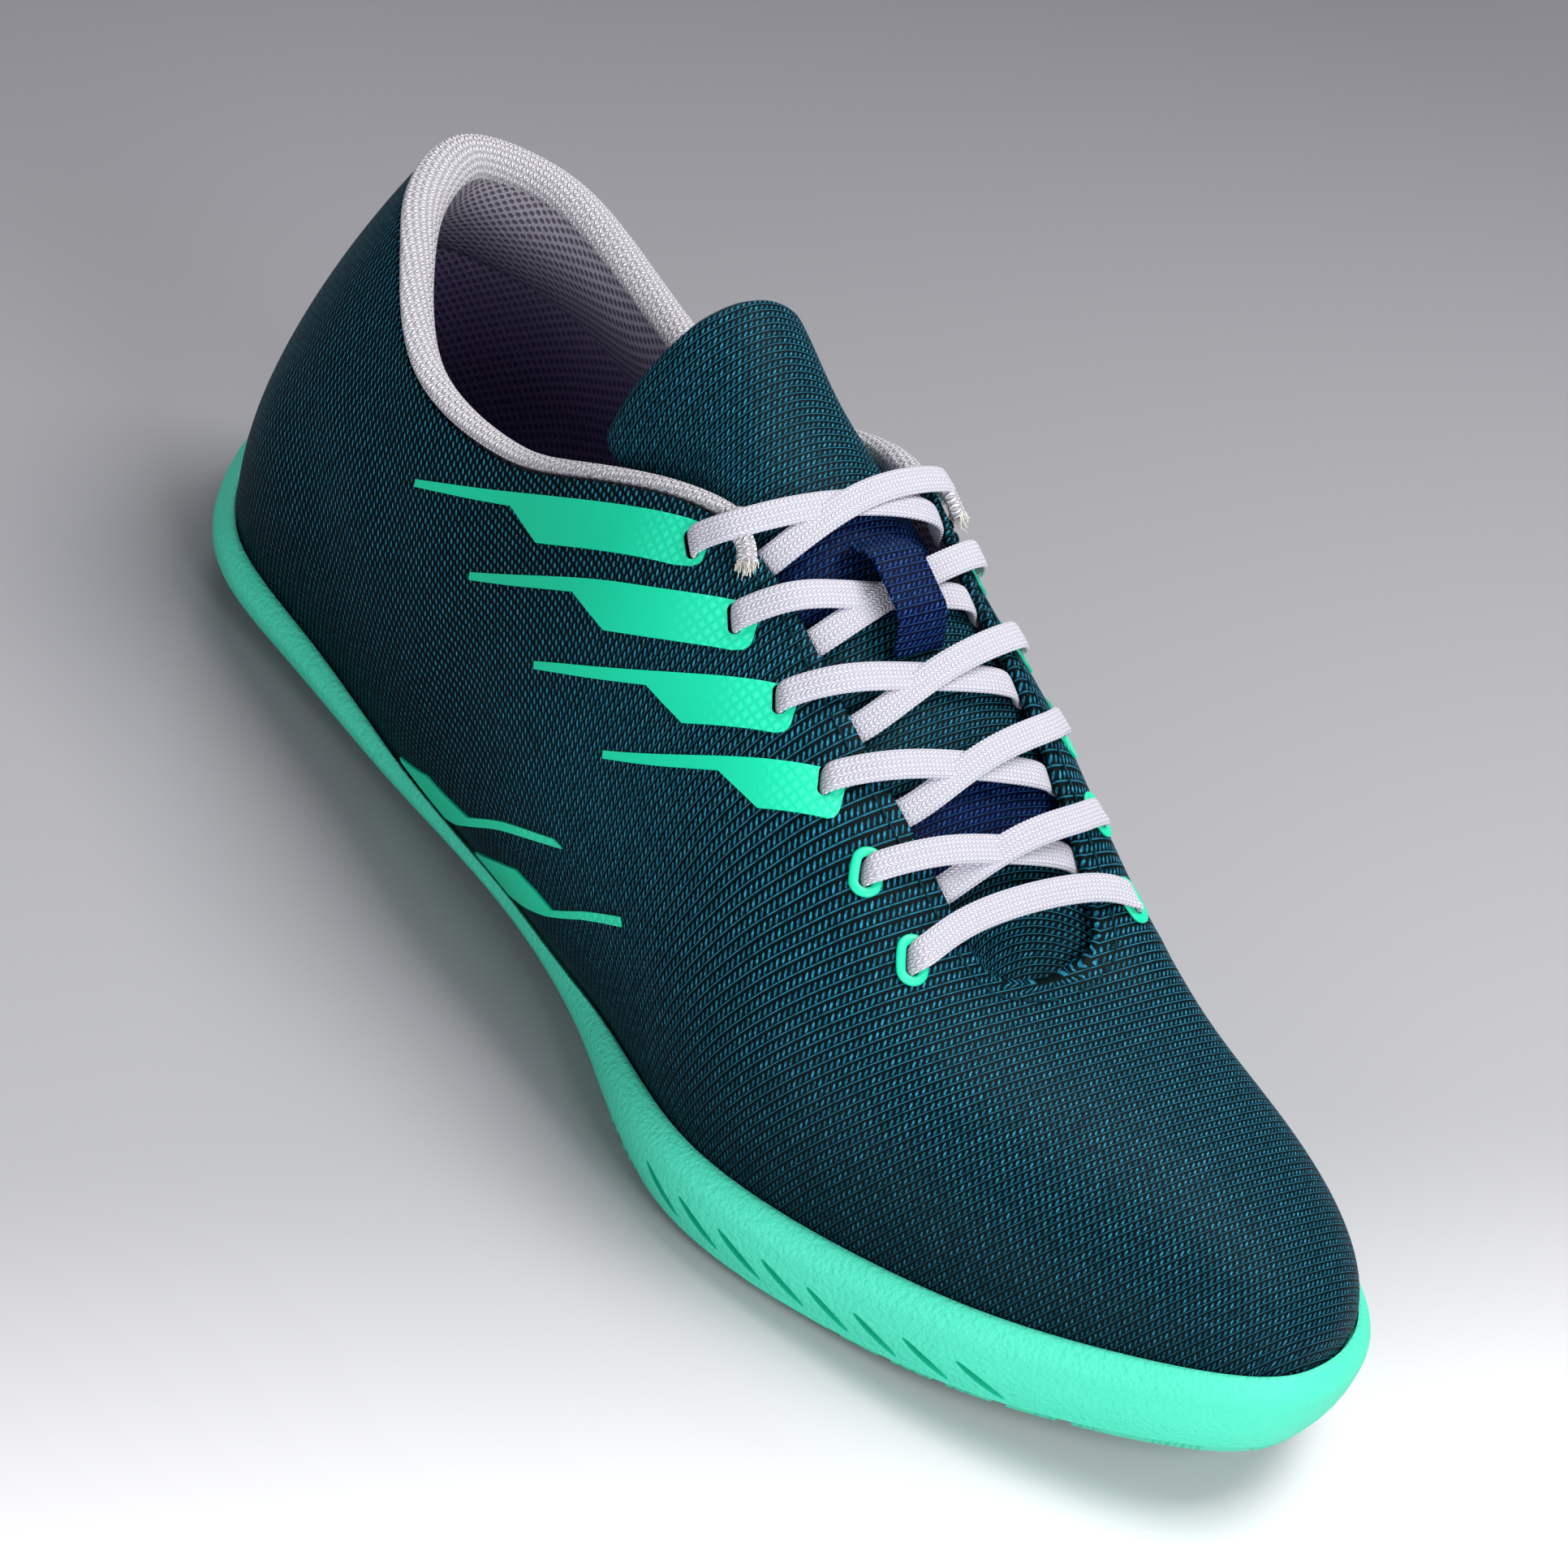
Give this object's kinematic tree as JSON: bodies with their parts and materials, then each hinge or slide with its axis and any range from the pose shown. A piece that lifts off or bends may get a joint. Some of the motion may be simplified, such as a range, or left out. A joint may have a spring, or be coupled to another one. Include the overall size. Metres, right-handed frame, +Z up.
{
  "type": "indoor soccer shoe",
  "caption": "Low indoor soccer shoe for the right foot: mesh upper, padded collar, tongue, flat laces, cup sole that wraps the toe.",
  "frame": {"origin": "middle of the shoe's whole box in plan, on the floor that the sole stands on", "axes": "+X towards the toe, +Y towards the inner side of the foot, +Z up"},
  "size_m": [0.2884, 0.0998, 0.1101],
  "materials": {
    "mesh_fabric": "dark teal woven mesh, matt",
    "tongue_fabric": "dark teal woven mesh with rows, padded",
    "navy_webbing": "navy woven strap",
    "lining_knit": "pale grey knit with small holes",
    "insole_fabric": "matt textile",
    "lace_braid": "white flat braid",
    "mint_rubber": "mint, fine matt grain",
    "clear_rubber": "whitish translucent, satin",
    "mint_film": "mint moulded film, satin"
  },
  "bodies": {
    "root": {"upper": "mesh_fabric", "midsole": "mint_rubber", "outsole_heel": "clear_rubber", "outsole_forefoot": "clear_rubber", "insole": "insole_fabric", "collar_lining": "lining_knit", "tongue": "tongue_fabric", "tongue_loop": "navy_webbing", "eyelet_tab_lateral_1": "mint_film", "eyelet_tab_lateral_2": "mint_film", "eyelet_tab_lateral_3": "mint_film", "eyelet_tab_lateral_4": "mint_film", "eyelet_tab_medial_1": "mint_film", "eyelet_tab_medial_2": "mint_film", "eyelet_tab_medial_3": "mint_film", "eyelet_tab_medial_4": "mint_film", "eyelet_ring_lateral_5": "mint_film", "eyelet_ring_lateral_6": "mint_film", "eyelet_ring_medial_5": "mint_film", "eyelet_ring_medial_6": "mint_film", "side_flash_lateral_1": "mint_film", "side_flash_lateral_2": "mint_film", "side_flash_medial_1": "mint_film", "side_flash_medial_2": "mint_film", "lace_crossing_1": "lace_braid", "lace_crossing_2": "lace_braid", "lace_crossing_3": "lace_braid", "lace_crossing_4": "lace_braid", "lace_crossing_5": "lace_braid", "lace_bar_6": "lace_braid"}
  },
  "joints": []
}
